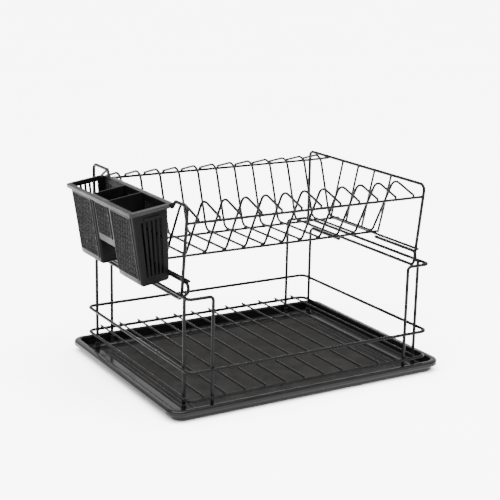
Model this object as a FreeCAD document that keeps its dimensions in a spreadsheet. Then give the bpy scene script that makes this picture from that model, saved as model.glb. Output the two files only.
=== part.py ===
import FreeCAD, Part
import math
import os
import Sketcher

# Two-tier dish drying rack.  Millimetres, +Z up.  The origin is the centre of
# the drip tray's underside.  X is the long side and Y the short one, with -Y
# the front.  The cutlery basket hangs on the left end, at -X.

V = FreeCAD.Vector
DOC = FreeCAD.newDocument("dish_rack")
SHEET = DOC.addObject("Spreadsheet::Sheet", "Sheet")


class Dim:
    """A length that is both a number and the sheet expression behind it."""

    def __init__(self, value, text):
        self.value = value
        self.text = text

    def __add__(self, other):
        other = as_dim(other)
        return Dim(self.value + other.value, "(%s + %s)" % (self.text, other.text))

    def __sub__(self, other):
        other = as_dim(other)
        return Dim(self.value - other.value, "(%s - %s)" % (self.text, other.text))

    def __mul__(self, factor):
        return Dim(self.value * factor, "(%s * %r)" % (self.text, factor))

    def __neg__(self):
        return self * -1


def as_dim(number):
    if isinstance(number, Dim):
        return number
    return Dim(float(number), repr(float(number)))


DRIVING = [
    # wires
    ("frame_wire", 4.8, "diameter of the main frame wire"),
    ("rail_wire", 4.0, "diameter of the rails of the upper rack"),
    ("thin_wire", 3.2, "diameter of the cross wires"),
    ("divider_wire", 3.8, "diameter of the plate dividers"),
    ("side_wire", 3.6, "diameter of the side wires"),
    ("wire_pitch", 33.0, "spacing of cross wires and dividers"),
    # drip tray
    ("tray_length", 468.0, "tray over its rim, along X"),
    ("tray_width", 361.0, "tray over its rim, along Y"),
    ("tray_height", 18.5, "tray height"),
    ("tray_corner", 22.0, "outer corner radius of the rim"),
    ("tray_inner_corner", 10.0, "corner radius of the foot and of the sunken floor"),
    ("tray_skin", 2.5, "wall thickness of the tray"),
    ("tray_inset", 5.5, "how far the pan stands in from the rim"),
    ("tray_base_inset", 18.0, "how far the foot of the pan stands in"),
    ("tray_shelf", 4.5, "height of the shelf the feet stand on"),
    ("tray_shelf_inset", 36.0, "how far the sunken floor stands in"),
    ("tray_floor", 2.5, "height of the sunken floor"),
    ("tray_lip_base", 10.0, "height of the lower edge of the rim's lip"),
    # lower rack
    ("loop_half_length", 205.0, "centre line of both loops, along X"),
    ("loop_half_width", 173.2, "centre line of both loops, along Y"),
    ("loop_corner", 11.0, "corner radius of both loops"),
    ("rim_loop_height", 27.5, "height of the lower rim loop"),
    ("guard_height", 68.0, "height of the guard rail"),
    ("cross_tail", 4.0, "how far a cross wire pokes past the back rail"),
    ("leg_inner", 166.0, "X of the inner legs"),
    ("leg_outer_depth", 148.5, "Y of the outer legs"),
    ("leg_base", 7.8, "lowest point of every leg wire"),
    ("shoulder_height", 172.5, "height of the shoulder frames"),
    ("shoulder_bend", 6.0, "bend radius at the top of the inner legs"),
    ("shoulder_corner", 8.0, "bend radius of the shoulder frames' corners"),
    ("arm_side", 194.2, "X of the front posts' arms"),
    ("arm_height", 188.7, "height of the front posts' arms"),
    ("arm_end", 46.0, "Y where the front arms end"),
    ("rear_arm_height", 159.2, "height of the rear posts' arms"),
    ("rear_arm_end", 62.0, "Y where the rear arms end"),
    ("post_bend", 9.0, "bend radius of the posts"),
    # upper rack
    ("end_side", 199.5, "X of the end frames"),
    ("end_top", 292.5, "height of the right end frame's top bar"),
    ("end_top_left", 298.0, "height of the left end frame's top bar, at the front"),
    ("end_top_left_rear", 302.0, "height of the left end frame's top bar, at the rear"),
    ("end_base", 164.3, "height of the end frames' bottom bar"),
    ("end_front_top", 155.0, "Y of the front upright at the top"),
    ("end_front_base", 138.5, "Y of the front upright at the bottom"),
    ("end_rear", 156.5, "Y of the rear upright"),
    ("end_bend", 9.0, "bend radius of the end frames"),
    ("dip_depth", 10.0, "depth of the seat for the basket"),
    ("dip_rear", 96.0, "Y of the seat's rear end"),
    ("dip_front", 110.5, "Y of the seat's front end"),
    ("dip_run", 9.0, "length of each ramp into the seat"),
    ("dip_bend", 5.0, "bend radius of the seat"),
    ("side_rail_height", 193.5, "height of the side rails"),
    ("side_rail_front", 153.0, "Y of the side rails' front end"),
    ("side_rail_rear", 82.0, "Y of the side rails' rear end"),
    ("front_rail_depth", 152.6, "Y of the front top rail"),
    ("front_rail_height", 274.0, "height of the front top rail"),
    ("back_rail_height", 278.3, "height of the back top rail"),
    ("brace_right", 96.0, "Y where the back rail meets the right top bar"),
    ("brace_left", 113.0, "Y where the back rail meets the left top bar"),
    ("floor_front", 46.0, "Y of the front floor rail"),
    ("floor_back", 60.0, "Y of the back floor rail"),
    ("floor_overhang", 0.5, "how far the floor rails pass the side rails"),
    ("divider_front_foot", 53.0, "Y of a divider's front lower corner"),
    ("divider_back_foot", 67.0, "Y of a divider's back lower corner"),
    ("divider_front_crest", 103.0, "Y of a divider's front crest"),
    ("divider_back_crest", 100.0, "Y of a divider's back crest"),
    ("divider_front_crest_height", 294.0, "height of the front crest's corner"),
    ("divider_back_crest_height", 298.0, "height of the back crest's corner"),
    ("divider_bend", 12.0, "bend radius of a divider at its feet"),
    ("crest_bend", 16.0, "bend radius of a divider's crests"),
    ("side_wire_first", 52.5, "Y of the first side wire at the top"),
    ("side_wire_pitch", 43.3, "spacing of the side wires"),
    ("side_wire_lean", 27.0, "how far a side wire leans back at its foot"),
    # foot caps
    ("cap_radius", 3.7, "outer radius of a foot cap"),
    ("cap_height", 10.0, "height of a foot cap"),
    ("cap_base", 4.8, "lowest point of a foot cap"),
    # cutlery basket, in its own frame with the rim level
    ("basket_length", 218.0, "basket over its walls at the rim, along Y"),
    ("basket_width", 55.0, "basket over its walls at the rim, along X"),
    ("basket_depth", 110.0, "depth of the front and rear compartments"),
    ("basket_middle_depth", 72.0, "depth of the middle compartment"),
    ("basket_skin", 2.0, "wall thickness of the basket"),
    ("basket_inner_draft", 11.3, "how far the wall beside the rack draws in at the bottom"),
    ("basket_outer_draft", 0.2, "how far the outer long wall draws in at the bottom"),
    ("basket_end_draft", 3.0, "how far each end of a deep compartment draws in"),
    ("basket_rim", 5.0, "width of the rim flange"),
    ("basket_rim_skin", 2.2, "thickness of the rim flange"),
    ("basket_rim_drop", 6.0, "height of the rim's outer lip"),
    ("basket_middle", 52.0, "length of the middle compartment"),
    ("basket_shift", 5.5, "Y of the basket's centre"),
    ("basket_tilt", 8.5, "outward lean of the hanging basket, in degrees"),
    ("hook_reach", 7.1, "how far the hook stands out over the frame's bar"),
    ("hook_skin", 1.2, "thickness of the hook's lip"),
    ("hook_drop", 6.5, "height of the hook's lip"),
    ("hook_length", 196.0, "length of the hook, along Y"),
    ("hook_shift", -14.0, "Y of the hook's centre, from the basket's centre"),
    ("hook_gap", 2.7, "from the bar's centre to the hook and to the wall"),
]

D = {}
for row, (name, value, note) in enumerate(DRIVING, start=1):
    SHEET.set("A%d" % row, name)
    SHEET.set("B%d" % row, str(value))
    SHEET.set("C%d" % row, note)
    SHEET.setAlias("B%d" % row, name)
    D[name] = Dim(value, "Sheet." + name)
DOC.recompute()

COUNT = 12                    # cross wires, and dividers
SIDE_WIRES = 4
PARTS = []


# ---------------------------------------------------------------- helpers
def origin_plane(body, role):
    for feature in body.Origin.OriginFeatures:
        if feature.Role == role:
            return feature
    raise ValueError("no plane " + role)


def new_body(label):
    body = DOC.addObject("PartDesign::Body", label)
    body.Label = label
    PARTS.append(body)
    return body


def new_sketch(body, name, role, height=None):
    sketch = body.newObject("Sketcher::SketchObject", name)
    sketch.AttachmentSupport = [(origin_plane(body, role), "")]
    sketch.MapMode = "FlatFace"
    if height is not None:
        sketch.setExpression("AttachmentOffset.Base.z", height.text)
    return sketch


def pin(sketch, geo, point, across, up):
    """Fix one point of a sketch at two sheet-driven distances."""
    for kind, dim in (("DistanceX", across), ("DistanceY", up)):
        index = sketch.addConstraint(Sketcher.Constraint(kind, -1, 1, geo, point, dim.value))
        sketch.setExpression("Constraints[%d]" % index, dim.text)


def corner_arc(before, corner, after, radius):
    """Tangent points and centre of the bend at one corner of a path."""
    one = (before - corner).normalize()
    two = (after - corner).normalize()
    half = one.getAngle(two) / 2
    reach = radius / math.tan(half)
    bisector = (one + two).normalize()
    centre = corner + bisector * (radius / math.sin(half))
    middle = centre - bisector * radius
    return corner + one * reach, middle, corner + two * reach, centre


def bent_spine(sketch, vertices, bend, closed=False):
    """Straight runs joined by tangent arcs, each corner driven by the sheet.

    The bend is one radius for every corner, or a list with one for each.
    """
    points = [V(a.value, b.value, 0) for a, b in vertices]
    total = len(points)
    corners = range(total) if closed else range(1, total - 1)
    bends = dict(zip(corners, bend if isinstance(bend, list) else [bend] * total))
    arcs = {}
    for i in corners:
        arcs[i] = corner_arc(points[i - 1], points[i], points[(i + 1) % total], bends[i].value)
    runs = total if closed else total - 1
    lines = []
    for i in range(runs):
        j = (i + 1) % total
        start = arcs[i][2] if i in arcs else points[i]
        end = arcs[j][0] if j in arcs else points[j]
        lines.append(sketch.addGeometry(Part.LineSegment(start, end), False))
    for i in corners:
        first, middle, last, centre = arcs[i]
        bow = Part.Arc(first, middle, last)
        arc = sketch.addGeometry(bow, False)
        shape_start = sketch.getPoint(arc, 1)
        starts_first = shape_start.distanceToPoint(first) < 1e-6
        end_in, end_out = (1, 2) if starts_first else (2, 1)
        before = lines[i - 1]
        after = lines[i % runs]
        sketch.addConstraint(Sketcher.Constraint("Tangent", before, 2, arc, end_in))
        sketch.addConstraint(Sketcher.Constraint("Tangent", after, 1, arc, end_out))
        index = sketch.addConstraint(Sketcher.Constraint("Radius", arc, bends[i].value))
        sketch.setExpression("Constraints[%d]" % index, bends[i].text)
        corner = sketch.addGeometry(Part.Point(points[i]), True)
        sketch.addConstraint(Sketcher.Constraint("PointOnObject", corner, 1, before))
        sketch.addConstraint(Sketcher.Constraint("PointOnObject", corner, 1, after))
        pin(sketch, corner, 1, *vertices[i])
    if not closed:
        pin(sketch, lines[0], 1, *vertices[0])
        pin(sketch, lines[-1], 2, *vertices[-1])
    return points


def section(body, label, start, direction, diameter):
    """Round section of a wire, standing across the path's first run."""
    sketch = body.newObject("Sketcher::SketchObject", label + "_section")
    circle = sketch.addGeometry(Part.Circle(V(0, 0, 0), V(0, 0, 1), diameter.value / 2), False)
    sketch.addConstraint(Sketcher.Constraint("Coincident", circle, 3, -1, 1))
    index = sketch.addConstraint(Sketcher.Constraint("Diameter", circle, diameter.value))
    sketch.setExpression("Constraints[%d]" % index, diameter.text)
    sketch.Placement = FreeCAD.Placement(start, FreeCAD.Rotation(V(0, 0, 1), direction))
    return sketch


PLANE_AXES = {
    "XY_Plane": (V(1, 0, 0), V(0, 1, 0), V(0, 0, 1)),
    "XZ_Plane": (V(1, 0, 0), V(0, 0, 1), V(0, -1, 0)),
    "YZ_Plane": (V(0, 1, 0), V(0, 0, 1), V(1, 0, 0)),
}


def flat_wire(label, role, offset, vertices, bend, diameter):
    """A wire bent in one plane: a round section piped along its path."""
    body = new_body(label)
    path = new_sketch(body, label + "_path", role, offset)
    points = bent_spine(path, vertices, bend)
    across, up, normal = PLANE_AXES[role]
    DOC.recompute()
    start = across * points[0].x + up * points[0].y + normal * offset.value
    step = points[1] - points[0]
    heading = across * step.x + up * step.y
    profile = section(body, label, start, heading, diameter)
    pipe = body.newObject("PartDesign::AdditivePipe", label + "_pipe")
    pipe.Profile = profile
    pipe.Spine = path
    pipe.Transition = 0
    body.Tip = pipe
    return body


def ring_wire(label, height):
    """A closed rectangular loop of frame wire with rounded corners."""
    body = new_body(label)
    across = D["loop_half_length"]
    depth = D["loop_half_width"]
    path = new_sketch(body, label + "_path", "XY_Plane", height)
    vertices = [(-across, -depth), (across, -depth), (across, depth), (-across, depth)]
    bent_spine(path, vertices, D["loop_corner"], closed=True)
    DOC.recompute()
    start = V(0, -depth.value, height.value)
    profile = section(body, label, start, V(1, 0, 0), D["frame_wire"])
    pipe = body.newObject("PartDesign::AdditivePipe", label + "_pipe")
    pipe.Profile = profile
    pipe.Spine = path
    body.Tip = pipe
    return body


def straight_wire(label, start, length, diameter, axis):
    """A cut length of wire, as a cylinder along X or Y."""
    rod = DOC.addObject("Part::Cylinder", label)
    rod.Label = label
    rod.setExpression("Radius", (diameter * 0.5).text)
    rod.setExpression("Height", length.text)
    turn = FreeCAD.Rotation(V(0, 0, 1), axis)
    rod.Placement = FreeCAD.Placement(V(0, 0, 0), turn)
    for name, dim in zip("xyz", start):
        rod.setExpression("Placement.Base." + name, as_dim(dim).text)
    PARTS.append(rod)
    return rod


def rounded_path(points, radii):
    """A wire of straight runs joined by tangent arcs, in space."""
    edges = []
    here = points[0]
    for i in range(1, len(points) - 1):
        first, middle, last, centre = corner_arc(points[i - 1], points[i], points[i + 1], radii[i - 1])
        if here.distanceToPoint(first) > 1e-6:
            edges.append(Part.LineSegment(here, first).toShape())
        edges.append(Part.Arc(first, middle, last).toShape())
        here = last
    edges.append(Part.LineSegment(here, points[-1]).toShape())
    return Part.Wire(edges)


def space_wire(label, points, radii, diameter):
    """A wire bent in more than one plane; its sizes are read from the sheet."""
    spine = rounded_path(points, radii)
    ring = Part.Circle(points[0], points[1] - points[0], diameter / 2).toShape()
    shape = spine.makePipeShell([Part.Wire([ring])], True, True)
    feature = DOC.addObject("Part::Feature", label)
    feature.Label = label
    feature.Shape = shape
    PARTS.append(feature)
    return feature


def size(name):
    return float(SHEET.get(name))


# ---------------------------------------------------------------- drip tray
def rounded_rectangle(sketch, inset, corner):
    half_length = D["tray_length"] * 0.5 - inset
    half_width = D["tray_width"] * 0.5 - inset
    vertices = [(-half_length, -half_width), (half_length, -half_width),
                (half_length, half_width), (-half_length, half_width)]
    bent_spine(sketch, vertices, corner, closed=True)


def tray_feature(body, kind, name, insets, height, depth, upward=True):
    """A pad or pocket of the tray, from one or two rounded rectangles."""
    sketch = new_sketch(body, name + "_outline", "XY_Plane", height)
    for inset in insets:
        near_rim = inset.value < size("tray_inset") + size("tray_skin") + 1
        corner = D["tray_corner"] - inset if near_rim else D["tray_inner_corner"]
        rounded_rectangle(sketch, inset, corner)
    feature = body.newObject("PartDesign::" + kind, name)
    feature.Profile = sketch
    feature.setExpression("Length", depth.text)
    # A pad grows along its sketch's normal, and a pocket cuts against it.
    feature.Reversed = upward == (kind == "Pocket")
    body.Tip = feature
    DOC.recompute()


def make_tray():
    """A flat foot, a walled pan over it, a turned-down rim and a stepped floor."""
    body = new_body("drip_tray")
    top = D["tray_height"]
    skin = D["tray_skin"]
    pan = D["tray_inset"]
    lip = D["tray_lip_base"]
    shelf = D["tray_shelf"]
    pan_base = shelf - skin
    tray_feature(body, "Pad", "tray_foot", [D["tray_base_inset"]], as_dim(0), shelf)
    tray_feature(body, "Pad", "tray_pan", [pan], pan_base, top - pan_base)
    tray_feature(body, "Pad", "tray_rim", [as_dim(0)], lip, top - lip)
    cuts = [
        ("tray_recess", [pan + skin], top, top - shelf, False),
        ("tray_sunken_floor", [D["tray_shelf_inset"]], shelf, shelf - D["tray_floor"], False),
        ("tray_lip_groove", [skin, pan], lip, top - skin - lip, True),
    ]
    for name, insets, height, depth, upward in cuts:
        before = body.Shape.Volume
        tray_feature(body, "Pocket", name, insets, height, depth, upward)
        if not body.Shape.Volume < before - 1:
            raise ValueError(name + " removed nothing")


# ---------------------------------------------------------------- lower rack
def make_lower_rack():
    ring_wire("lower_rim_loop", D["rim_loop_height"])
    ring_wire("lower_guard_rail", D["guard_height"])
    height = D["rim_loop_height"] + (D["frame_wire"] + D["thin_wire"]) * 0.5
    length = D["loop_half_width"] * 2 + D["cross_tail"] + D["frame_wire"] * 0.25
    front = -D["loop_half_width"] - D["frame_wire"] * 0.25
    for i in range(COUNT):
        across = D["wire_pitch"] * (i - (COUNT - 1) / 2)
        straight_wire("lower_cross_wire_%02d" % (i + 1), (across, front, height), length,
                      D["thin_wire"], V(0, 1, 0))


def make_leg_frames():
    wire = size("frame_wire")
    base = size("leg_base")
    inner = size("leg_inner")
    depth = size("loop_half_width") - wire
    outer = size("loop_half_length") - wire
    outer_depth = size("leg_outer_depth")
    shoulder = size("shoulder_height")
    side = outer + wire
    bend = size("shoulder_bend")
    corner = size("shoulder_corner")
    arm = size("arm_side")
    arm_height = size("arm_height")
    post_bend = size("post_bend")
    kink_low = shoulder - 0.5
    kink_high = kink_low + wire
    rear_arm = size("rear_arm_height")
    for name, s in (("left", -1), ("right", 1)):
        space_wire("shoulder_frame_" + name, [
            V(s * inner, -depth, base), V(s * inner, -depth, shoulder),
            V(s * side, -depth, shoulder), V(s * side, depth, shoulder),
            V(s * inner, depth, shoulder), V(s * inner, depth, base)],
            [bend, corner, corner, bend], wire)
        space_wire("front_post_" + name, [
            V(s * outer, -outer_depth, base), V(s * outer, -outer_depth, kink_low),
            V(s * arm, -outer_depth, kink_high), V(s * arm, -outer_depth, arm_height),
            V(s * arm, -size("arm_end"), arm_height)],
            [3.5, 3.5, 7.0], wire)
        space_wire("rear_post_" + name, [
            V(s * outer, outer_depth, base), V(s * outer, outer_depth, rear_arm),
            V(s * outer, size("rear_arm_end"), rear_arm)],
            [post_bend], wire)


def make_foot_caps():
    """A moulded sleeve on the foot of each of the eight legs."""
    inner = D["leg_inner"]
    depth = D["loop_half_width"] - D["frame_wire"]
    outer = D["loop_half_length"] - D["frame_wire"]
    spots = []
    for s in (-1, 1):
        for t in (-1, 1):
            spots.append((inner * s, depth * t))
            spots.append((outer * s, D["leg_outer_depth"] * t))
    for i, (across, along) in enumerate(spots, start=1):
        label = "foot_cap_%02d" % i
        sleeve = DOC.addObject("Part::Cylinder", label + "_sleeve")
        sleeve.setExpression("Radius", D["cap_radius"].text)
        sleeve.setExpression("Height", D["cap_height"].text)
        bore = DOC.addObject("Part::Cylinder", label + "_bore")
        bore.setExpression("Radius", (D["frame_wire"] * 0.5).text)
        bore.setExpression("Height", D["cap_height"].text)
        bore.setExpression("Placement.Base.z", (D["leg_base"] - D["cap_base"]).text)
        cap = DOC.addObject("Part::Cut", label)
        cap.Label = label
        cap.Base = sleeve
        cap.Tool = bore
        cap.setExpression("Placement.Base.x", across.text)
        cap.setExpression("Placement.Base.y", along.text)
        cap.setExpression("Placement.Base.z", D["cap_base"].text)
        PARTS.append(cap)


# ---------------------------------------------------------------- upper rack
def end_frame_path(top, top_rear, dipped):
    """Corners and bends of an end frame, from the middle of its bottom bar."""
    base = D["end_base"]
    bend = D["end_bend"]
    front_base = -D["end_front_base"]
    rear = D["end_rear"]
    dip = top - D["dip_depth"]
    vertices = [(front_base + 60, base), (rear, base), (rear, top_rear)]
    bends = [bend, bend]
    if dipped:
        vertices += [(D["dip_rear"] + D["dip_run"], top_rear), (D["dip_rear"], dip),
                     (-D["dip_front"], dip), (-D["dip_front"] - D["dip_run"], top)]
        bends += [D["dip_bend"]] * 4
    vertices += [(-D["end_front_top"], top), (front_base, base), (front_base + 60, base)]
    return vertices, bends + [bend, bend]


def make_end_frames():
    """Closed end frames; the left one dips to seat the basket's hook."""
    left = (D["end_top_left"], D["end_top_left_rear"], True)
    right = (D["end_top"], D["end_top"], False)
    for label, s, tops in (("end_frame_left", -1, left), ("end_frame_right", 1, right)):
        vertices, bends = end_frame_path(*tops)
        flat_wire(label, "YZ_Plane", D["end_side"] * s, vertices, bends, D["frame_wire"])


def make_upper_rails():
    inside = D["end_side"] - (D["frame_wire"] + D["rail_wire"]) * 0.5
    butt = D["end_side"] - D["frame_wire"] * 0.5
    straight_wire("front_top_rail", (-butt, -D["front_rail_depth"], D["front_rail_height"]),
                  butt * 2, D["rail_wire"], V(1, 0, 0))
    rail_height = D["side_rail_height"]
    reach = inside + D["floor_overhang"]
    floor_height = rail_height + D["rail_wire"]
    for label, along in (("front_floor_rail", -D["floor_front"]), ("back_floor_rail", D["floor_back"])):
        straight_wire(label, (-reach, along, floor_height), reach * 2, D["rail_wire"], V(1, 0, 0))
    for label, s in (("side_rail_left", -1), ("side_rail_right", 1)):
        straight_wire(label, (inside * s, -D["side_rail_front"], rail_height),
                      D["side_rail_front"] + D["side_rail_rear"], D["rail_wire"], V(0, 1, 0))
    hold = size("end_side") - (size("frame_wire") + size("rail_wire")) / 2 + 0.15
    behind = size("end_rear") - (size("frame_wire") + size("rail_wire")) / 2
    low = size("back_rail_height")
    space_wire("back_top_rail", [
        V(-hold, size("brace_left"), size("end_top_left_rear") - 1), V(-hold, behind, low),
        V(hold, behind, low), V(hold, size("brace_right"), size("end_top") - 1)],
        [6.0, 6.0], size("rail_wire"))


def make_dividers():
    """Twelve plate dividers, each one bent wire across the rack."""
    lift = (D["rail_wire"] + D["divider_wire"]) * 0.5
    floor = D["side_rail_height"] + D["rail_wire"] + lift
    front_tail = (-D["front_rail_depth"], D["front_rail_height"] + lift)
    back = D["end_rear"] - (D["frame_wire"] + D["rail_wire"]) * 0.5
    back_tail = (back, D["back_rail_height"] + lift)
    vertices = [
        front_tail,
        (-D["divider_front_crest"], D["divider_front_crest_height"]),
        (-D["divider_front_foot"], floor),
        (D["divider_back_foot"], floor),
        (D["divider_back_crest"], D["divider_back_crest_height"]),
        back_tail,
    ]
    bends = [D["crest_bend"], D["divider_bend"], D["divider_bend"], D["crest_bend"]]
    for i in range(COUNT):
        across = D["wire_pitch"] * (i - (COUNT - 1) / 2)
        flat_wire("plate_divider_%02d" % (i + 1), "YZ_Plane", across, vertices,
                  bends, D["divider_wire"])


def make_side_wires():
    """Side wires of the right end, from the top bar down to the side rail."""
    wire = size("side_wire")
    bar = size("end_side") - (size("frame_wire") + wire) / 2 + 0.05
    rail = size("end_side") - (size("frame_wire") + size("rail_wire")) / 2
    head = size("end_top") + 1
    foot = size("side_rail_height") + (size("rail_wire") + wire) / 2 - 0.05
    for i in range(SIDE_WIRES):
        along = size("side_wire_first") - i * size("side_wire_pitch")
        space_wire("side_wire_%02d" % (i + 1), [
            V(bar, along, head), V(rail, along + size("side_wire_lean"), foot)],
            [], wire)


# ---------------------------------------------------------------- basket
def wedge(label, across, along, drafts, depth, centre_y):
    """A tapered block whose top is level and whose bottom draws in."""
    outer, inner, ends = drafts
    block = DOC.addObject("Part::Wedge", label)
    fields = {
        "Xmin": across * -0.5, "Xmax": across * 0.5,
        "Zmin": along * -0.5, "Zmax": along * 0.5,
        "X2min": across * -0.5 + outer, "X2max": across * 0.5 - inner,
        "Z2min": along * -0.5 + ends, "Z2max": along * 0.5 - ends,
        "Ymin": as_dim(0), "Ymax": depth,
    }
    for name, dim in fields.items():
        block.setExpression(name, dim.text)
    block.Placement = FreeCAD.Placement(V(0, 0, 0), FreeCAD.Rotation(V(1, 0, 0), -90))
    block.setExpression("Placement.Base.y", centre_y.text)
    return block


def slab(label, low, sizes):
    """A box from its low corner and its three sizes."""
    block = DOC.addObject("Part::Box", label)
    for name, dim in zip(("Length", "Width", "Height"), sizes):
        block.setExpression(name, dim.text)
    for name, dim in zip("xyz", low):
        block.setExpression("Placement.Base." + name, dim.text)
    return block


def basket_compartments():
    """Solid blocks for the three compartments, and the hollows inside them."""
    skin = D["basket_skin"]
    width = D["basket_width"]
    middle = D["basket_middle"]
    deep = D["basket_depth"]
    shallow = D["basket_middle_depth"]
    end_length = (D["basket_length"] - middle) * 0.5
    end_centre = (middle + end_length) * 0.5
    deep_drafts = (D["basket_outer_draft"], D["basket_inner_draft"], D["basket_end_draft"])
    share = size("basket_middle_depth") / size("basket_depth")
    shallow_drafts = (D["basket_outer_draft"] * share, D["basket_inner_draft"] * share, as_dim(0))
    outer = []
    inner = []
    for name, s in (("rear", 1), ("front", -1)):
        outer.append(wedge("basket_outer_" + name, width, end_length, deep_drafts,
                           deep, end_centre * s))
        inner.append(wedge("basket_inner_" + name, width - skin * 2, end_length - skin * 2,
                           deep_drafts, deep - skin, end_centre * s))
    outer.append(wedge("basket_outer_middle", width, middle + skin * 2, shallow_drafts,
                       shallow, as_dim(0)))
    inner.append(wedge("basket_inner_middle", width - skin * 2, middle, shallow_drafts,
                       shallow - skin, as_dim(0)))
    return outer, inner


def basket_rim():
    """A flanged rim on three sides, and the hook on the side of the rack."""
    skin = D["basket_skin"]
    flange = D["basket_rim"]
    thick = D["basket_rim_skin"]
    drop = D["basket_rim_drop"]
    half = D["basket_width"] * 0.5
    across = D["basket_width"] + flange - 0.6
    along = D["basket_length"] + flange * 2
    corner = (-half - flange, -(along * 0.5), -drop)
    lip_block = slab("basket_lip_block", corner, (across, along, drop))
    groove = slab("basket_lip_groove", (corner[0] + skin, corner[1] + skin, -drop),
                  (across, along - skin * 2, drop - thick))
    lip = DOC.addObject("Part::Cut", "basket_lip")
    lip.Base = lip_block
    lip.Tool = groove
    reach = D["hook_reach"]
    hook_low = D["hook_shift"] - D["hook_length"] * 0.5
    plate = slab("basket_hook_plate", (half - skin, hook_low, -thick),
                 (reach + skin, D["hook_length"], thick))
    edge = slab("basket_hook_lip", (half + reach - D["hook_skin"], hook_low, -D["hook_drop"]),
                (D["hook_skin"], D["hook_length"], D["hook_drop"]))
    return [lip, plate, edge]


def basket_placement():
    """The hook lies over the bar of the left end frame, and the basket leans out."""
    tilt = math.radians(size("basket_tilt"))
    lean = tilt - math.atan(size("basket_inner_draft") / size("basket_depth"))
    gap = size("hook_gap")
    bar = V(-size("end_side"), 0, size("end_top_left") - size("dip_depth"))
    # The wall line and the hook's underside both pass the bar's centre at that gap.
    wall_out = V(-math.cos(lean), 0, -math.sin(lean))
    hook_up = V(-math.sin(tilt), 0, math.cos(tilt))
    along_wall = V(-math.sin(lean), 0, math.cos(lean))
    rise = gap * (1 - wall_out.dot(hook_up)) / along_wall.dot(hook_up)
    corner = bar + wall_out * gap + along_wall * rise
    turn = FreeCAD.Rotation(V(0, 1, 0), -size("basket_tilt"))
    own = V(size("basket_width") / 2 - size("basket_inner_draft") / size("basket_depth")
            * size("basket_rim_skin"), 0, -size("basket_rim_skin"))
    spot = corner - turn.multVec(own)
    return FreeCAD.Placement(V(spot.x, size("basket_shift"), spot.z), turn)


def make_basket():
    """Three compartments under one rim; the middle one is shallow."""
    outer, inner = basket_compartments()
    shell = DOC.addObject("Part::MultiFuse", "basket_shell")
    shell.Shapes = outer + basket_rim()
    cavity = DOC.addObject("Part::MultiFuse", "basket_cavity")
    cavity.Shapes = inner
    basket = DOC.addObject("Part::Cut", "cutlery_basket")
    basket.Label = "cutlery_basket"
    basket.Base = shell
    basket.Tool = cavity
    basket.Placement = basket_placement()
    PARTS.append(basket)


# ---------------------------------------------------------------- build
make_tray()
make_lower_rack()
make_leg_frames()
make_foot_caps()
make_end_frames()
make_upper_rails()
make_dividers()
make_side_wires()
make_basket()
DOC.recompute()

for thing in DOC.Objects:
    for state in thing.State:
        if state in ("Invalid", "Error"):
            raise ValueError("%s is %s" % (thing.Name, state))
for part in PARTS:
    if part.Shape.isNull() or not part.Shape.isValid():
        raise ValueError(part.Label + " has no valid shape")

os.makedirs("parts", exist_ok=True)
for part in PARTS:
    part.Shape.exportStep("parts/%s.step" % part.Label)
print(len(PARTS), "sub-parts written")
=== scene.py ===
import math
import random

import bmesh
import bpy
from mathutils import Matrix, Vector


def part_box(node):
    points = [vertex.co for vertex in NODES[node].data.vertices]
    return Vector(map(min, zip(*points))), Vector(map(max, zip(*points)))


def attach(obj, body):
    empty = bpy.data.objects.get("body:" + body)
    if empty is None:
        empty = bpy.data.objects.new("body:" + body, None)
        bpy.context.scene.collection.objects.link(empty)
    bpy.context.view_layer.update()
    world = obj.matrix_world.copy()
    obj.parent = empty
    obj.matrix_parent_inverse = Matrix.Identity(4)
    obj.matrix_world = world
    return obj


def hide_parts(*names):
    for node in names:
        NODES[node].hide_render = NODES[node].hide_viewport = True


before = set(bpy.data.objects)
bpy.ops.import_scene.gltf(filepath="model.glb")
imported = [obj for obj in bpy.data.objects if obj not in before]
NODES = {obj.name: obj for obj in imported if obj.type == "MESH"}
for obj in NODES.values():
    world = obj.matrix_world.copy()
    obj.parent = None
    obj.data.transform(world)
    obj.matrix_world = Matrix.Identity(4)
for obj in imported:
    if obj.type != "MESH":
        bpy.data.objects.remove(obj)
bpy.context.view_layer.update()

MM = 0.001
CROSS_RADIUS = 1.6 * MM
RAIL_RADIUS = 2.0 * MM
FRAME_RADIUS = 2.4 * MM
DIVIDERS = sorted(n for n in NODES if n.startswith("plate_divider"))
CROSS_WIRES = sorted(n for n in NODES if n.startswith("lower_cross_wire"))
FOOT_CAPS = sorted(n for n in NODES if n.startswith("foot_cap"))


# ---------------------------------------------------------------- camera and light
CAMERA_PLACE = Vector((-0.9329, -1.5492, 0.6560))
CAMERA_HEADING = math.radians(-30.8)
CAMERA_PITCH = math.radians(-14.8)
CAMERA_ROLL = math.radians(1.2)
CAMERA_LENS = 87.4
FLOOR_REACH = 16.0
LIGHTS_AIM = (0, 0, 0.12)


def add_camera():
    """A three-quarter view from the front left, with a slight roll."""
    turn, dip, roll = CAMERA_HEADING, CAMERA_PITCH, CAMERA_ROLL
    forward = Vector((-math.sin(turn) * math.cos(dip), math.cos(turn) * math.cos(dip), math.sin(dip)))
    level = Vector((math.cos(turn), math.sin(turn), 0))
    upright = level.cross(forward)
    right = level * math.cos(roll) + upright * math.sin(roll)
    up = upright * math.cos(roll) - level * math.sin(roll)
    data = bpy.data.cameras.new("camera")
    data.lens = CAMERA_LENS
    data.sensor_width = 36
    camera = bpy.data.objects.new("camera", data)
    bpy.context.scene.collection.objects.link(camera)
    camera.matrix_world = Matrix((
        (right.x, up.x, -forward.x, CAMERA_PLACE.x),
        (right.y, up.y, -forward.y, CAMERA_PLACE.y),
        (right.z, up.z, -forward.z, CAMERA_PLACE.z),
        (0, 0, 0, 1)))
    bpy.context.scene.camera = camera


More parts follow.
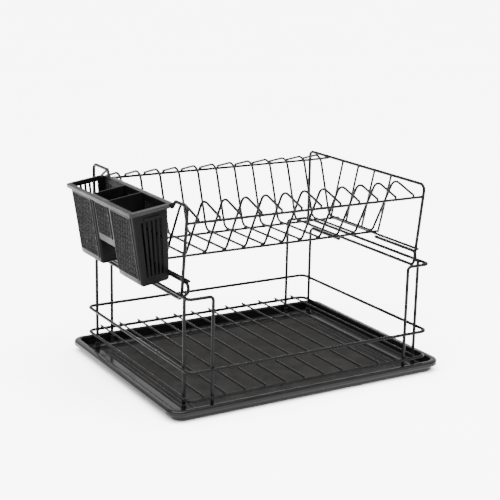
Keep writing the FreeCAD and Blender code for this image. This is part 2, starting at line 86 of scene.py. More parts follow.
def add_area(name, place, size, power):
    """A round soft light aimed at the rack."""
    data = bpy.data.lights.new(name, "AREA")
    data.shape = "DISK"
    data.size = size
    data.energy = power
    light = bpy.data.objects.new(name, data)
    bpy.context.scene.collection.objects.link(light)
    light.location = place
    aim = Vector(LIGHTS_AIM) - Vector(place)
    light.rotation_euler = aim.to_track_quat("-Z", "Y").to_euler()


def add_sky():
    """A broad lamp overhead that lights the whole floor evenly."""
    sun = bpy.data.lights.new("light_sky", "SUN")
    sun.energy = 22.0
    sun.angle = math.radians(80)
    sky = bpy.data.objects.new("light_sky", sun)
    bpy.context.scene.collection.objects.link(sky)
    sky.rotation_euler = (math.radians(12), math.radians(-10), 0)


def add_studio():
    """A pale floor, an even surround, a broad soft sky and three large soft lights."""
    world = bpy.data.worlds.new("studio")
    world.use_nodes = True
    surround = world.node_tree.nodes["Background"]
    surround.inputs["Color"].default_value = (1, 1, 1, 1)
    surround.inputs["Strength"].default_value = 2.0
    bpy.context.scene.world = world
    mesh = bpy.data.meshes.new("floor")
    corners = [(x * FLOOR_REACH, y * FLOOR_REACH, 0) for x, y in ((-1, -1), (1, -1), (1, 1), (-1, 1))]
    mesh.from_pydata(corners, [], [(0, 1, 2, 3)])
    floor = bpy.data.objects.new("floor", mesh)
    bpy.context.scene.collection.objects.link(floor)
    mesh.materials.append(floor_material())
    add_sky()
    add_area("light_top", (-0.2, -0.3, 2.2), 1.8, 20)
    add_area("light_left", (-2.0, -0.9, 1.3), 1.2, 12)
    add_area("light_right", (1.6, -1.6, 1.5), 1.0, 8)


# ---------------------------------------------------------------- materials
NOISE_ROUGHNESS = 0.55


def new_material(name, colour, roughness, specular):
    material = bpy.data.materials.new(name)
    material.use_nodes = True
    shader = material.node_tree.nodes["Principled BSDF"]
    shader.inputs["Base Color"].default_value = (*colour, 1)
    shader.inputs["Roughness"].default_value = roughness
    shader.inputs["Specular IOR Level"].default_value = specular
    return material, shader


def noise(material, scale, detail=4.0):
    """Noise over the object's own coordinates, at a scale per metre."""
    tree = material.node_tree
    place = tree.nodes.new("ShaderNodeTexCoord")
    node = tree.nodes.new("ShaderNodeTexNoise")
    node.inputs["Scale"].default_value = scale
    node.inputs["Detail"].default_value = detail
    node.inputs["Roughness"].default_value = NOISE_ROUGHNESS
    tree.links.new(place.outputs["Object"], node.inputs["Vector"])
    return node.outputs["Fac"]


def ramp(material, source, low, high, at=(0.35, 0.65)):
    """Spread a factor between two grey levels or two colours."""
    tree = material.node_tree
    node = tree.nodes.new("ShaderNodeValToRGB")
    node.color_ramp.elements[0].position = at[0]
    node.color_ramp.elements[1].position = at[1]
    node.color_ramp.elements[0].color = low if isinstance(low, tuple) else (low, low, low, 1)
    node.color_ramp.elements[1].color = high if isinstance(high, tuple) else (high, high, high, 1)
    tree.links.new(source, node.inputs["Fac"])
    return node.outputs["Color"]


def bump(material, shader, source, strength, distance, after=None):
    """Raise the surface by a height, on top of an earlier bump where one is given."""
    tree = material.node_tree
    node = tree.nodes.new("ShaderNodeBump")
    node.inputs["Strength"].default_value = strength
    node.inputs["Distance"].default_value = distance
    tree.links.new(source, node.inputs["Height"])
    if after is not None:
        tree.links.new(after, node.inputs["Normal"])
    tree.links.new(node.outputs["Normal"], shader.inputs["Normal"])
    return node.outputs["Normal"]


def paint_edge_highlight(material, shader, base, edge_highlight):
    """Convex edges are painted a slightly paler tone: a painted highlight where the edges catch the light."""
    tree = material.node_tree
    shape = tree.nodes.new("ShaderNodeNewGeometry")
    edge = ramp(material, shape.outputs["Pointiness"], 0.0, 1.0, at=(0.52, 0.60))
    mix = tree.nodes.new("ShaderNodeMix")
    mix.data_type = "RGBA"
    tree.links.new(edge, mix.inputs["Factor"])
    tree.links.new(base, mix.inputs["A"])
    mix.inputs["B"].default_value = edge_highlight
    tree.links.new(mix.outputs["Result"], shader.inputs["Base Color"])


def floor_material():
    """A pale matte paper with a faint drift of tone."""
    material, shader = new_material("floor_paper", (0.93, 0.93, 0.93), 0.9, 0.1)
    tone = ramp(material, noise(material, 1.5), (0.92, 0.92, 0.925, 1), (0.945, 0.945, 0.945, 1))
    material.node_tree.links.new(tone, shader.inputs["Base Color"])
    return material


def wire_material():
    """Gloss black coating on wire: slightly wavy, with fine specks of dust."""
    material, shader = new_material("wire_coating", (0.0012, 0.0012, 0.0013), 0.3, 0.05)
    tree = material.node_tree
    tone = ramp(material, noise(material, 60), (0.0009, 0.0009, 0.0010, 1), (0.0018, 0.0018, 0.0019, 1))
    # painted highlight: convex edges of the wires are painted a paler tone
    paint_edge_highlight(material, shader, tone, (0.0030, 0.0030, 0.0032, 1))
    tree.links.new(ramp(material, noise(material, 35, 5), 0.22, 0.42), shader.inputs["Roughness"])
    wave = bump(material, shader, noise(material, 420, 2), 0.25, 0.0004)
    bump(material, shader, noise(material, 2600, 3), 0.12, 0.0001, wave)
    return material


def weld_material():
    """The same coating over a weld, duller and rougher than on the wire."""
    material, shader = new_material("weld_coating", (0.0014, 0.0014, 0.0015), 0.36, 0.08)
    tree = material.node_tree
    tone = ramp(material, noise(material, 300), (0.0010, 0.0010, 0.0011, 1), (0.0026, 0.0026, 0.0028, 1))
    tree.links.new(tone, shader.inputs["Base Color"])
    tree.links.new(ramp(material, noise(material, 500), 0.28, 0.5), shader.inputs["Roughness"])
    bump(material, shader, noise(material, 1200, 4), 0.5, 0.0003)
    return material


def plastic_material(name, dark, pale, rough, grain, grain_depth, specular):
    """Moulded black plastic: mottled tone, uneven gloss and a fine grain."""
    material, shader = new_material(name, dark, rough[0], specular)
    tree = material.node_tree
    tone = ramp(material, noise(material, 25, 6), (*dark, 1), (*pale, 1))
    # painted highlight: convex edges of the plastic are painted a paler tone
    paint_edge_highlight(material, shader, tone, (*[c * 1.6 for c in pale], 1))
    tree.links.new(ramp(material, noise(material, 40, 5), rough[0], rough[1]), shader.inputs["Roughness"])
    flow = bump(material, shader, noise(material, 45, 2), 0.12, 0.0008)
    bump(material, shader, noise(material, grain, 3), 0.35, grain_depth, flow)
    return material


# ---------------------------------------------------------------- mesh helpers
def add_piece(name, bm, material, body, bevel=0.0, smooth=35.0, place=None):
    """A finished piece: its mesh, material and body."""
    mesh = bpy.data.meshes.new(name)
    if place is not None:
        bm.transform(place)
    bm.to_mesh(mesh)
    bm.free()
    for item in material if isinstance(material, list) else [material]:
        mesh.materials.append(item)
    piece = bpy.data.objects.new(name, mesh)
    bpy.context.scene.collection.objects.link(piece)
    if bevel:
        cut = piece.modifiers.new("bevel", "BEVEL")
        cut.width = bevel
        cut.segments = 2
        cut.limit_method = "ANGLE"
        cut.angle_limit = math.radians(40)
    mesh.shade_smooth()
    mesh.set_sharp_from_angle(angle=math.radians(smooth))
    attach(piece, body)
    return piece


def strip(bm, rows, closed=False, cap=False):
    """Quads between successive rows of vertices."""
    for one, two in zip(rows, rows[1:]):
        last = len(one) if closed else len(one) - 1
        for i in range(last):
            j = (i + 1) % len(one)
            bm.faces.new((one[i], one[j], two[j], two[i]))
    if cap:
        bm.faces.new(list(reversed(rows[0])))
        bm.faces.new(rows[-1])


def make_rows(bm, rows):
    return [[bm.verts.new(p) for p in row] for row in rows]


def rounded_corners(half_x, half_y, radius, steps):
    """The points of a rounded rectangle, counter-clockwise from the front left."""
    points = []
    centres = [(half_x - radius, -half_y + radius, -90), (half_x - radius, half_y - radius, 0),
               (-half_x + radius, half_y - radius, 90), (-half_x + radius, -half_y + radius, 180)]
    for cx, cy, start in centres:
        for i in range(steps + 1):
            angle = math.radians(start + 90 * i / steps)
            points.append((cx + radius * math.cos(angle), cy + radius * math.sin(angle)))
    return points


def lathe(bm, profile, place, steps=28):
    """Turn (radius, height) pairs about the vertical through a place."""
    rows = []
    for radius, height in profile:
        rows.append([place + Vector((radius * math.cos(a), radius * math.sin(a), height))
                     for a in (2 * math.pi * i / steps for i in range(steps))])
    strip(bm, make_rows(bm, rows), closed=True, cap=True)


def blob(bm, place, sizes, rng):
    """A weld bead: a small uneven lump."""
    made = bmesh.ops.create_icosphere(bm, subdivisions=2, radius=1)
    for vert in made["verts"]:
        uneven = 1 + rng.uniform(-0.10, 0.10)
        vert.co = Vector(place) + Vector([vert.co[i] * sizes[i] * uneven for i in range(3)])


def dome(bm, place, heading, radius):
    """The rounded end of a coated wire."""
    heading = Vector(heading).normalized()
    turn = Vector((0, 0, 1)).rotation_difference(heading).to_matrix()
    rows = []
    for ring in range(DOME_RINGS):
        lift = math.radians(22 * ring)
        rows.append([Vector(place) + turn @ Vector((
            radius * math.cos(lift) * math.cos(2 * math.pi * i / DOME_STEPS),
            radius * math.cos(lift) * math.sin(2 * math.pi * i / DOME_STEPS),
            radius * DOME_FLATNESS * math.sin(lift))) for i in range(DOME_STEPS)])
    strip(bm, make_rows(bm, rows), closed=True, cap=True)


def middle_of(node):
    low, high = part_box(node)
    return [(low[i] + high[i]) / 2 for i in range(3)]


# ---------------------------------------------------------------- wires
WELD_SIZE = (2.3 * MM, 2.3 * MM, 1.0 * MM)
DOME_STEPS = 14
DOME_RINGS = 5
DOME_FLATNESS = 0.55


def dress_wires(coating):
    """The CAD wires keep their shape and get the gloss black coating."""
    for name, node in NODES.items():
        if name in ("drip_tray", "cutlery_basket") or name.startswith("foot_cap"):
            continue
        node.data.materials.clear()
        node.data.materials.append(coating)


def add_welds(material):
    """Beads where wires cross, gathered by rail."""
    rng = random.Random(7)
    groups = {"welds_lower_front": [], "welds_lower_back": [], "welds_front_rail": [],
              "welds_back_rail": [], "welds_floor_front": [], "welds_floor_back": []}
    loop_low, loop_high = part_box("lower_rim_loop")
    for name in CROSS_WIRES:
        across, _, height = middle_of(name)
        touch = height - CROSS_RADIUS
        groups["welds_lower_front"].append((across, loop_low[1] + FRAME_RADIUS, touch))
        groups["welds_lower_back"].append((across, loop_high[1] - FRAME_RADIUS, touch))
    rails = {"welds_front_rail": "front_top_rail", "welds_floor_front": "front_floor_rail",
             "welds_floor_back": "back_floor_rail"}
    back_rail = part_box("back_top_rail")
    for name in DIVIDERS:
        across = middle_of(name)[0]
        for group, rail in rails.items():
            _, along, _ = middle_of(rail)
            groups[group].append((across, along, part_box(rail)[1][2]))
        groups["welds_back_rail"].append(
            (across, back_rail[1][1] - RAIL_RADIUS, back_rail[0][2] + 2 * RAIL_RADIUS))
    for group, places in groups.items():
        body = "lower_rack" if "lower" in group else "upper_rack"
        bm = bmesh.new()
        for place in places:
            blob(bm, place, WELD_SIZE, rng)
        add_piece(group, bm, material, body, smooth=60)


def add_wire_ends(material):
    """Rounded coating over each cut end."""
    lower = bmesh.new()
    for name in CROSS_WIRES:
        low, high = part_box(name)
        across, _, height = middle_of(name)
        dome(lower, (across, low[1], height), (0, -1, 0), CROSS_RADIUS)
        dome(lower, (across, high[1], height), (0, 1, 0), CROSS_RADIUS)
    for side in ("left", "right"):
        low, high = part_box("front_post_" + side)
        across = low[0] + FRAME_RADIUS if side == "right" else high[0] - FRAME_RADIUS
        dome(lower, (across, high[1], high[2] - FRAME_RADIUS), (0, 1, 0), FRAME_RADIUS)
        low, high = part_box("rear_post_" + side)
        dome(lower, ((low[0] + high[0]) / 2, low[1], high[2] - FRAME_RADIUS), (0, -1, 0), FRAME_RADIUS)
    add_piece("wire_ends_lower", lower, material, "lower_rack", smooth=60)
    upper = bmesh.new()
    for name in ("side_rail_left", "side_rail_right"):
        low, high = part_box(name)
        across, _, height = middle_of(name)
        dome(upper, (across, low[1], height), (0, -1, 0), RAIL_RADIUS)
        dome(upper, (across, high[1], height), (0, 1, 0), RAIL_RADIUS)
    for name in ("front_floor_rail", "back_floor_rail"):
        low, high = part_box(name)
        _, along, height = middle_of(name)
        dome(upper, (low[0], along, height), (-1, 0, 0), RAIL_RADIUS)
        dome(upper, (high[0], along, height), (1, 0, 0), RAIL_RADIUS)
    add_piece("wire_ends_upper", upper, material, "upper_rack", smooth=60)


def add_foot_caps(material):
    """Moulded caps with a rounded sole and a soft collar."""
    for name in FOOT_CAPS:
        low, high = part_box(name)
        radius = (high[0] - low[0]) / 2
        tall = high[2] - low[2]
        base = Vector(((low[0] + high[0]) / 2, (low[1] + high[1]) / 2, low[2]))
        profile = [(radius * 0.70, 0), (radius * 0.90, tall * 0.04), (radius, tall * 0.13),
                   (radius, tall * 0.30), (radius * 0.93, tall * 0.36), (radius * 0.91, tall * 0.80),
                   (radius * 0.97, tall * 0.85), (radius * 0.97, tall * 0.95), (radius * 0.80, tall)]
        bm = bmesh.new()
        lathe(bm, profile, base)
        piece = add_piece("cap_" + name[-2:], bm, material, "lower_rack", smooth=40)
        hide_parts(name)


# ---------------------------------------------------------------- drip tray
TRAY_CORNER = 22 * MM
TRAY_TIGHTEST_CORNER = 6 * MM
FLANGE_EXTRA = 3.0
RIB_FIRST, RIB_PITCH, RIB_COUNT = 41, 8, 3
RIB_TALL, RIB_STEPS, RIB_END_GAP = 1.5, 12, 40
TRAY_PROFILE = [
    # (inset from the rim's edge, height), outside to inside over the top
    (19.0, 0.0), (18.2, 0.3), (18.0, 1.4), (17.6, 2.0), (8.5, 2.0), (6.6, 2.3), (5.8, 3.2), (5.5, 9.6),
    (5.1, 10.4), (1.6, 10.1), (0.5, 10.3), (0.0, 11.2), (0.0, 15.2), (0.45, 16.8), (1.5, 17.9), (2.9, 18.35),
    (6.2, 18.45), (7.0, 18.2), (7.6, 17.3), (7.9, 15.8), (8.1, 6.2), (8.3, 4.7),
]
TRAY_FLOOR_PROFILE = [
    # the same, from the foot of the rim to the floor's edge
    (16.5, 4.55), (17.2, 5.2), (17.9, 6.3), (18.6, 6.7), (20.0, 6.7), (20.7, 6.3), (21.4, 5.0),
    (22.0, 4.8), (22.6, 5.6), (23.2, 6.0), (24.4, 6.0), (25.0, 5.6), (25.7, 4.7), (35.4, 4.5), (36.2, 2.9),
    (37.2, 2.55),
]


def end_flange(inset):
    """How much further in the tray's ends stand than its long sides, as the flange is wider there."""
    if inset < 9:
        return FLANGE_EXTRA * min(max((inset - 3) / 3, 0), 1)
    return FLANGE_EXTRA * max(0, (16 - inset) / 7)


def tray_ring(inset, height, half_x, half_y):
    """One level of the tray: a rounded rectangle whose corners tighten inwards."""
    radius = max(TRAY_CORNER - inset * MM, TRAY_TIGHTEST_CORNER)
    across = half_x - (inset + end_flange(inset)) * MM
    return [(x, y, height * MM) for x, y in rounded_corners(across, half_y - inset * MM, radius, 10)]


def add_tray(gloss, matte):
    """A rolled rim over a stepped pan, with a ribbed and grained floor."""
    low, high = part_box("drip_tray")
    half_x, half_y = high[0], high[1]
    bm = bmesh.new()
    rows = [tray_ring(i, z, half_x, half_y) for i, z in TRAY_PROFILE + TRAY_FLOOR_PROFILE]
    verts = make_rows(bm, rows)
    strip(bm, verts, closed=True)
    bm.faces.new(list(reversed(verts[0])))
    bm.faces.new(verts[-1])
    bmesh.ops.recalc_face_normals(bm, faces=bm.faces)
    floor_height = TRAY_FLOOR_PROFILE[-1][1] * MM
    for face in bm.faces:
        middle = face.calc_center_median()
        if abs(middle.z - floor_height) < 0.05 * MM and face.normal.z > 0.9:
            face.material_index = 1
    tray = add_piece("tray_shell", bm, [gloss, matte], "tray", smooth=28)
    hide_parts("drip_tray")
    add_tray_ribs(gloss, half_x, half_y, floor_height)


def add_tray_ribs(material, half_x, half_y, floor_height):
    """Low drainage ribs that run along both ends of the floor."""
    bm = bmesh.new()
    length = half_y - RIB_END_GAP * MM
    for side in (-1, 1):
        for index in range(RIB_COUNT):
            across = side * (half_x - (RIB_FIRST + RIB_PITCH * index) * MM)
            rows = []
            for step in range(RIB_STEPS + 1):
                along = -length + 2 * length * step / RIB_STEPS
                tall = RIB_TALL * MM if 0 < step < RIB_STEPS else 0.1 * MM
                rows.append([(across + dx * MM, along, floor_height + tall * lift) for dx, lift in
                             ((-1.8, -0.2), (-1.2, 0.6), (-0.5, 1.0), (0.5, 1.0), (1.2, 0.6), (1.8, -0.2))])
            strip(bm, make_rows(bm, rows), cap=True)
    bmesh.ops.recalc_face_normals(bm, faces=bm.faces)
    add_piece("tray_ribs", bm, material, "tray", smooth=60)


# ---------------------------------------------------------------- cutlery basket
TILT = math.radians(8.5)
WIDTH = 55.0
LENGTH = 218.0
DEEP = 110.0
SHALLOW = 72.0
MIDDLE = 52.0
SKIN = 2.0
FLANGE = 5.0
OUTER_DRAFT = 0.2
INNER_DRAFT = 11.3
END_DRAFT = 3.0
CORNER = 4.0
SOLE = 5.0
HOOK_REACH = 7.1
HOOK_CENTRE = -14.0
HOOK_HALF = 98.0
RACK_SIDE_STOP = -0.7
MIDDLE_RECESS = 1.5
MESH_PITCH, MESH_TALL = 5.5, 15.0
MESH_TOP, MESH_BOTTOM, MESH_MIDDLE_BOTTOM = 10.0, 99.0, 58.0
MESH_LENGTH, MESH_MARGIN, MESH_MIDDLE_MARGIN = 65.0, 9.0, 4.0
UPPER_SLOTS, LOWER_SLOTS, END_SLOTS = (9.0, 48.0), (53.0, 94.0), (18.0, 97.0)
SLOT_GROUPS = (-16.5, 16.5)
END_BAR_SHARE = 0.12


def basket_place():
    """From the basket's own millimetres to the row frame, by its CAD box."""
    low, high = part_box("cutlery_basket")
    turn = Matrix.Rotation(-TILT, 4, "Y")
    rim_edge = turn @ Vector((-(WIDTH / 2 + FLANGE), 0, 0))
    hook_edge = turn @ Vector((WIDTH / 2 + HOOK_REACH, 0, 0))
    shift = Vector((low[0] - rim_edge.x * MM, (low[1] + high[1]) / 2, high[2] - hook_edge.z * MM))
    return Matrix.Translation(shift) @ turn @ Matrix.Scale(MM, 4)


def tub_sides(depth, centre, length, inset=0.0):
    """Where the four outer faces of a deep compartment stand at one depth."""
    share = min(depth / DEEP, 1.0)
    return (-WIDTH / 2 + OUTER_DRAFT * share + inset, WIDTH / 2 - INNER_DRAFT * share - inset,
            centre - length / 2 + END_DRAFT * share + inset,
            centre + length / 2 - END_DRAFT * share - inset)


def tub_ring(columns, depth, sides, radius):
    """One level of a tub: the columns of each side and the corners between."""
    x0, x1, y0, y1 = sides
    runs = [((x0 + radius, y0), (x1 - radius, y0)), ((x1, y0 + radius), (x1, y1 - radius)),
            ((x1 - radius, y1), (x0 + radius, y1)), ((x0, y1 - radius), (x0, y0 + radius))]
    centres = [(x1 - radius, y0 + radius, -90), (x1 - radius, y1 - radius, 0),
               (x0 + radius, y1 - radius, 90), (x0 + radius, y0 + radius, 180)]
    points = []
    for side in range(4):
        (ax, ay), (bx, by) = runs[side]
        points += [(ax + (bx - ax) * t, ay + (by - ay) * t, -depth) for t in columns[side]]
        cx, cy, start = centres[side]
        for i in range(1, 5):
            angle = math.radians(start + 90 * i / 5)
            points.append((cx + radius * math.cos(angle), cy + radius * math.sin(angle), -depth))
    return points


def slot_columns(run, count, pitch, width, shift=0.0):
    """Where the edges of evenly spaced slots fall along a side, from 0 to 1."""
    first = run / 2 + shift - pitch * (count - 1) / 2
    edges = []
    for i in range(count):
        edges += [(first + i * pitch - width / 2) / run, (first + i * pitch + width / 2) / run]
    return edges


def make_tub(name, centre, length, slots, plastic, place):
    """A deep compartment: walls with real slots and a rounded sole.

    For each side, slots holds the slots' edges and the depths they run between.
    """
    columns = [[0.0] + edges + [1.0] for edges, _ in slots]
    levels = {0.0, DEEP - SOLE}
    for _, spans in slots:
        for top, bottom in spans:
            levels.update((top, bottom))
    levels = sorted(levels)
    bm = bmesh.new()
    rows = [tub_ring(columns, d, tub_sides(d, centre, length), CORNER) for d in levels]
    for i in range(1, 5):
        turn = math.radians(90 * i / 4)
        inset = SOLE * (1 - math.cos(turn))
        depth = DEEP - SOLE + SOLE * math.sin(turn)
        rows.append(tub_ring(columns, depth, tub_sides(depth, centre, length, inset),
                             max(CORNER - inset, 2.0)))
    verts = make_rows(bm, rows)
    count = len(verts[0])
    holes = set()
    column = 0
    for side in range(4):
        edges, spans = slots[side]
        for k in range(len(edges) // 2):
            for level in range(len(levels) - 1):
                if any(top <= levels[level] and levels[level + 1] <= bottom for top, bottom in spans):
                    holes.add((level, column + 1 + 2 * k))
        column += len(columns[side]) + 4
    for level in range(len(verts) - 1):
        for i in range(count):
            if (level, i) not in holes:
                j = (i + 1) % count
                bm.faces.new((verts[level][j], verts[level][i], verts[level + 1][i], verts[level + 1][j]))
    bm.faces.new(verts[-1])
    bmesh.ops.recalc_face_normals(bm, faces=bm.faces)
    lowest = min(bm.faces, key=lambda f: f.calc_center_median().z)
    if lowest.normal.z > 0:
        bmesh.ops.reverse_faces(bm, faces=bm.faces)
    bmesh.ops.solidify(bm, geom=bm.faces[:], thickness=SKIN)
    return add_piece(name, bm, plastic, "basket", bevel=0.35 * MM, smooth=30,
                     place=place)


def make_middle(plastic, place):
    """The shallow compartment: an outer wall, a rounded sole and a slotted inner wall."""
    share = SHALLOW / DEEP
    x0, x1 = -WIDTH / 2 + MIDDLE_RECESS, WIDTH / 2
    lean0, lean1 = OUTER_DRAFT * share, INNER_DRAFT * share
    path = [(x0, 0), (x0 + lean0, SHALLOW - SOLE)]
    for i in range(1, 5):
        turn = math.radians(90 * i / 5)
        path.append((x0 + lean0 + SOLE * (1 - math.cos(turn)), SHALLOW - SOLE + SOLE * math.sin(turn)))
    path += [(x0 + lean0 + SOLE, SHALLOW), (x1 - lean1 - SOLE, SHALLOW)]
    for i in range(1, 5):
        turn = math.radians(90 * i / 5)
        path.append((x1 - lean1 - SOLE * (1 - math.sin(turn)), SHALLOW - SOLE * (1 - math.cos(turn))))
    rise = [(x1 - lean1, SHALLOW - SOLE)]
    for depth in (36.0, 32.0, 9.0, 0.0):
        rise.append((x1 - lean1 * depth / SHALLOW, depth))
    path += rise
    edges = slot_columns(MIDDLE, 6, 7.0, 3.2)
    along = [-MIDDLE / 2 + MIDDLE * t for t in [-0.03] + edges + [1.03]]
    bm = bmesh.new()
    verts = make_rows(bm, [[(x, y, -depth) for y in along] for x, depth in path])
    first = len(path) - len(rise)
    slotted = {first, first + 2}
    for level in range(len(verts) - 1):
        for i in range(len(along) - 1):
            if level in slotted and i % 2 == 1:
                continue
            bm.faces.new((verts[level][i], verts[level][i + 1], verts[level + 1][i + 1], verts[level + 1][i]))
    bmesh.ops.recalc_face_normals(bm, faces=bm.faces)
    lowest = min(bm.faces, key=lambda f: f.calc_center_median().z)
    if lowest.normal.z > 0:
        bmesh.ops.reverse_faces(bm, faces=bm.faces)
    bmesh.ops.solidify(bm, geom=bm.faces[:], thickness=SKIN)
    return add_piece("basket_middle", bm, plastic, "basket", bevel=0.35 * MM,
                     smooth=30, place=place)


def make_rim(plastic, place):
    """A stepped flange with two fine grooves, swept round a rounded rectangle.

    On the side that faces the rack it stops inside the wall, where the hook strip takes over.
    """
    profile = [
        # (outset from the wall's outer face, height)
        (-SKIN, -2.6), (-SKIN, -0.5), (-1.5, -0.1), (0.4, -0.1), (0.8, -0.5), (1.2, -0.5), (1.6, -0.1),
        (2.6, -0.1), (3.0, -0.5), (3.4, -0.5), (3.8, -0.15), (4.5, -0.3), (4.95, -0.9), (5.0, -2.2),
        (4.7, -2.6), (4.7, -3.0), (5.0, -3.4), (5.0, -5.4), (4.4, -6.0), (3.4, -6.0), (3.2, -5.6),
        (3.2, -2.8), (2.8, -2.5), (0.0, -2.6),
    ]
    bm = bmesh.new()
    rows = []
    for outset, height in profile:
        inner = min(outset, RACK_SIDE_STOP)
        ring = []
        radius = CORNER + 0.3 * outset
        for x, y in rounded_corners(WIDTH / 2 + outset, LENGTH / 2 + outset, radius, 8):
            ring.append((min(x, WIDTH / 2 + inner), y, height))
        rows.append(ring)
    verts = make_rows(bm, rows)
    strip(bm, verts + [verts[0]], closed=True)
    bmesh.ops.remove_doubles(bm, verts=bm.verts[:], dist=0.01)
    bmesh.ops.recalc_face_normals(bm, faces=bm.faces)
    add_piece("basket_rim", bm, plastic, "basket", smooth=28, place=place)


def make_hook(plastic, place):
    """The strip of rim that lies over the frame's bar, with its turned-down lip."""
    out = WIDTH / 2
    profile = [(-2.0, -2.2), (-2.0, -0.4), (-1.6, 0.0), (0.9, 0.0), (1.2, -0.3), (1.6, -0.3), (1.9, 0.0),
               (5.9, 0.0), (6.7, -0.3), (7.05, -1.0), (7.1, -6.0), (6.8, -6.5), (6.1, -6.5), (5.9, -6.1),
               (5.9, -2.6), (5.6, -2.2)]
    bm = bmesh.new()
    rows = []
    for along, scale in ((-HOOK_HALF, 0.86), (1.5 - HOOK_HALF, 1.0),
                         (HOOK_HALF - 1.5, 1.0), (HOOK_HALF, 0.86)):
        rows.append([(out + (x if x < 0 else x * scale), HOOK_CENTRE + along, z) for x, z in profile])
    strip(bm, make_rows(bm, rows), closed=True, cap=True)
    bmesh.ops.recalc_face_normals(bm, faces=bm.faces)
    add_piece("basket_hook", bm, plastic, "basket", smooth=28, place=place)


def clip_run(c, slope, along, deep):
    """Where the line p = c + slope * q stays inside 0..along and 0..deep."""
    enter, leave = sorted((-c / slope, (along - c) / slope))
    low, high = max(0.0, enter), min(deep, leave)
    return (low, high) if high - low > 1.0 else None


def make_lattice(name, start, along, bottom, recess, plastic, place):
    """Diamond mesh inside a raised border, on the outer face of one compartment."""
    bm = bmesh.new()
    deep = bottom - MESH_TOP
    lean = math.atan(OUTER_DRAFT / DEEP)

    def at(p, q, lift):
        """A point p along and q down the panel, lifted off the wall."""
        depth = MESH_TOP + q
        x = -WIDTH / 2 + recess + OUTER_DRAFT * depth / DEEP - lift * math.cos(lean)
        return (x, start + p, -depth)

    def bar(a, b, half, lift):
        """A low bar with a rounded back, from a to b on the panel."""
        dp, dq = b[0] - a[0], b[1] - a[1]
        size = math.hypot(dp, dq)
        nx, ny = -dq / size, dp / size
        rows = []
        for p, q in (a, b):
            rows.append([at(p + nx * half * s, q + ny * half * s, lift * h) for s, h in
                         ((-1, -0.3), (-0.75, 0.7), (-0.3, 1.0), (0.3, 1.0), (0.75, 0.7), (1, -0.3))])
        strip(bm, make_rows(bm, rows), closed=True, cap=True)

    for sign in (-1, 1):
        slope = sign * MESH_PITCH / MESH_TALL
        first = -deep * abs(slope) if sign > 0 else 0.0
        last = along if sign > 0 else along + deep * abs(slope)
        c = math.ceil(first / MESH_PITCH) * MESH_PITCH - MESH_PITCH / 2
        while c < last:
            run = clip_run(c, slope, along, deep)
            if run:
                bar((c + slope * run[0], run[0]), (c + slope * run[1], run[1]), 0.6, 0.9)
            c += MESH_PITCH
    corners = [(0, 0), (along, 0), (along, deep), (0, deep)]
    for i in range(4):
        bar(corners[i], corners[(i + 1) % 4], 1.5, 1.3)
    bmesh.ops.recalc_face_normals(bm, faces=bm.faces)
    add_piece(name, bm, plastic, "basket", smooth=50, place=place)


def make_end_bar(plastic, place):
    """The raised bar above the slots of the front end."""
    bm = bmesh.new()
    rows = []
    front = -LENGTH / 2 + END_DRAFT * END_BAR_SHARE
    for x in (-12.5, -12.0, 12.0, 12.5):
        out = 1.6 if abs(x) < 12.4 else 0.6
        rows.append([(x, front + 0.4, -12.0), (x, front - out * 0.7, -12.2), (x, front - out, -12.9),
                     (x, front - out, -14.6), (x, front - out * 0.7, -15.3), (x, front + 0.4, -15.5)])
    strip(bm, make_rows(bm, rows), closed=True, cap=True)
    bmesh.ops.recalc_face_normals(bm, faces=bm.faces)
    add_piece("basket_end_bar", bm, plastic, "basket", smooth=50, place=place)


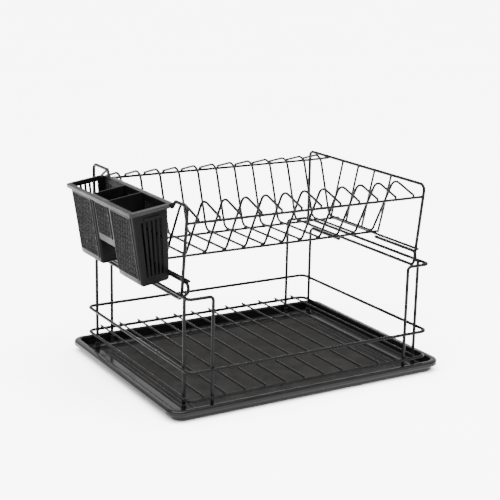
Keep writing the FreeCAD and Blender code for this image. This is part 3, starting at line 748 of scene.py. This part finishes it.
def add_basket(plastic, rim):
    """Two deep compartments, a shallow one between them, a rim, a hook strip and the mesh panels."""
    place = basket_place()
    length = (LENGTH - MIDDLE) / 2
    centre = (LENGTH - length) / 2
    wide = WIDTH - 2 * CORNER
    long = length - 2 * CORNER
    end = (slot_columns(wide, 5, 7.4, 3.4), [END_SLOTS])
    inner = (sum((slot_columns(long, 4, 7.0, 3.2, shift) for shift in SLOT_GROUPS), []),
             [UPPER_SLOTS, LOWER_SLOTS])
    rear_end = (slot_columns(wide, 5, 7.4, 3.8), [(7.0, 48.0), LOWER_SLOTS])
    plain = ([], [])
    front = make_tub("basket_front", -centre, length, [end, inner, plain, plain], plastic, place)
    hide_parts("cutlery_basket")
    make_tub("basket_rear", centre, length, [plain, inner, rear_end, plain], plastic, place)
    make_middle(plastic, place)
    # rim is the paler copy of the basket plastic, with its painted sheen
    make_rim(rim, place)
    make_hook(rim, place)
    make_end_bar(plastic, place)
    make_lattice("basket_mesh_front", -LENGTH / 2 + MESH_MARGIN, MESH_LENGTH, MESH_BOTTOM, 0.0,
                 plastic, place)
    make_lattice("basket_mesh_rear", MIDDLE / 2 + MESH_MARGIN, MESH_LENGTH, MESH_BOTTOM, 0.0,
                 plastic, place)
    make_lattice("basket_mesh_middle", -MIDDLE / 2 + MESH_MIDDLE_MARGIN, MIDDLE - 2 * MESH_MIDDLE_MARGIN,
                 MESH_MIDDLE_BOTTOM, MIDDLE_RECESS, plastic, place)


# ---------------------------------------------------------------- scene
add_camera()
add_studio()
WIRE = wire_material()
WELD = weld_material()
TRAY_GLOSS = plastic_material("tray_gloss", (0.0012, 0.0012, 0.0012), (0.0022, 0.0022, 0.0021),
                              (0.13, 0.20), 1500, 0.00003, 0.09)
TRAY_MATTE = plastic_material("tray_matte", (0.0032, 0.0031, 0.0029), (0.0056, 0.0054, 0.0051),
                              (0.60, 0.74), 1100, 0.00035, 0.04)
BASKET = plastic_material("basket_plastic", (0.0008, 0.0008, 0.0008), (0.0016, 0.0016, 0.0016),
                          (0.30, 0.42), 1800, 0.00006, 0.035)
# The rim and hook strip are the basket's plastic painted a paler grey: a painted sheen where the rim catches
# the light.
RIM_PAINTED_SHEEN = plastic_material("rim_plastic_painted_sheen", (0.0022, 0.0022, 0.0022), (0.0038, 0.0038, 0.0038),
                       (0.30, 0.40), 1800, 0.00006, 0.09)
CAP = plastic_material("cap_plastic", (0.0016, 0.0016, 0.0016), (0.0030, 0.0030, 0.0030),
                       (0.45, 0.6), 1400, 0.0001, 0.1)
dress_wires(WIRE)
add_welds(WELD)
add_wire_ends(WIRE)
add_foot_caps(CAP)
add_tray(TRAY_GLOSS, TRAY_MATTE)
add_basket(BASKET, RIM_PAINTED_SHEEN)
